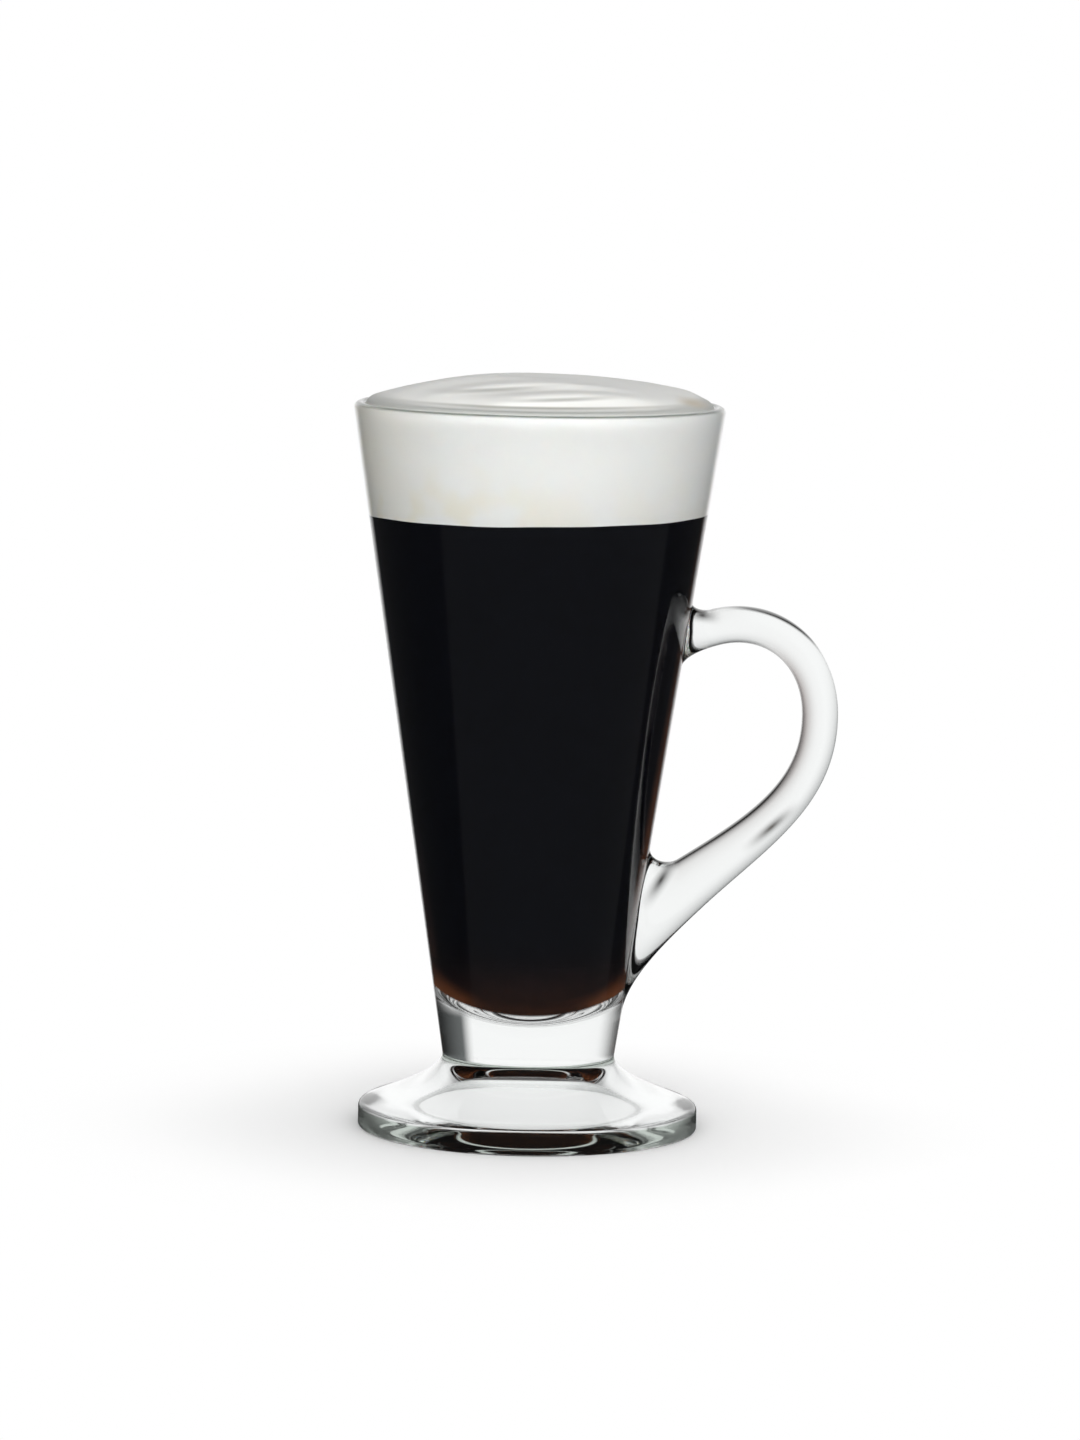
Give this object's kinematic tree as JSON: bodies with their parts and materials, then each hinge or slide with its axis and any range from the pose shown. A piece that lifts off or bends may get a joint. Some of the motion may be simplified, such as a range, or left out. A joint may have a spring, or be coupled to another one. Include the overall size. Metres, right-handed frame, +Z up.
{
  "type": "irish coffee glass mug",
  "caption": "Footed conical glass mug with an ear-shaped loop handle, holding black coffee under a domed head of cream.",
  "frame": {"origin": "centre of the flat ring that the foot stands on, on the table", "axes": "+Z up along the axis of the bowl, +X towards the handle, +Y to the far side when the handle is on the right"},
  "size_m": [0.0986, 0.0746, 0.1532],
  "materials": {
    "clear_glass": "clear, fire polished",
    "black_coffee": "dark liquid",
    "whipped_cream": "soft whipped cream"
  },
  "bodies": {
    "root": {"bowl": "clear_glass", "foot": "clear_glass", "handle": "clear_glass", "coffee": "black_coffee", "cream_head": "whipped_cream"}
  },
  "joints": []
}
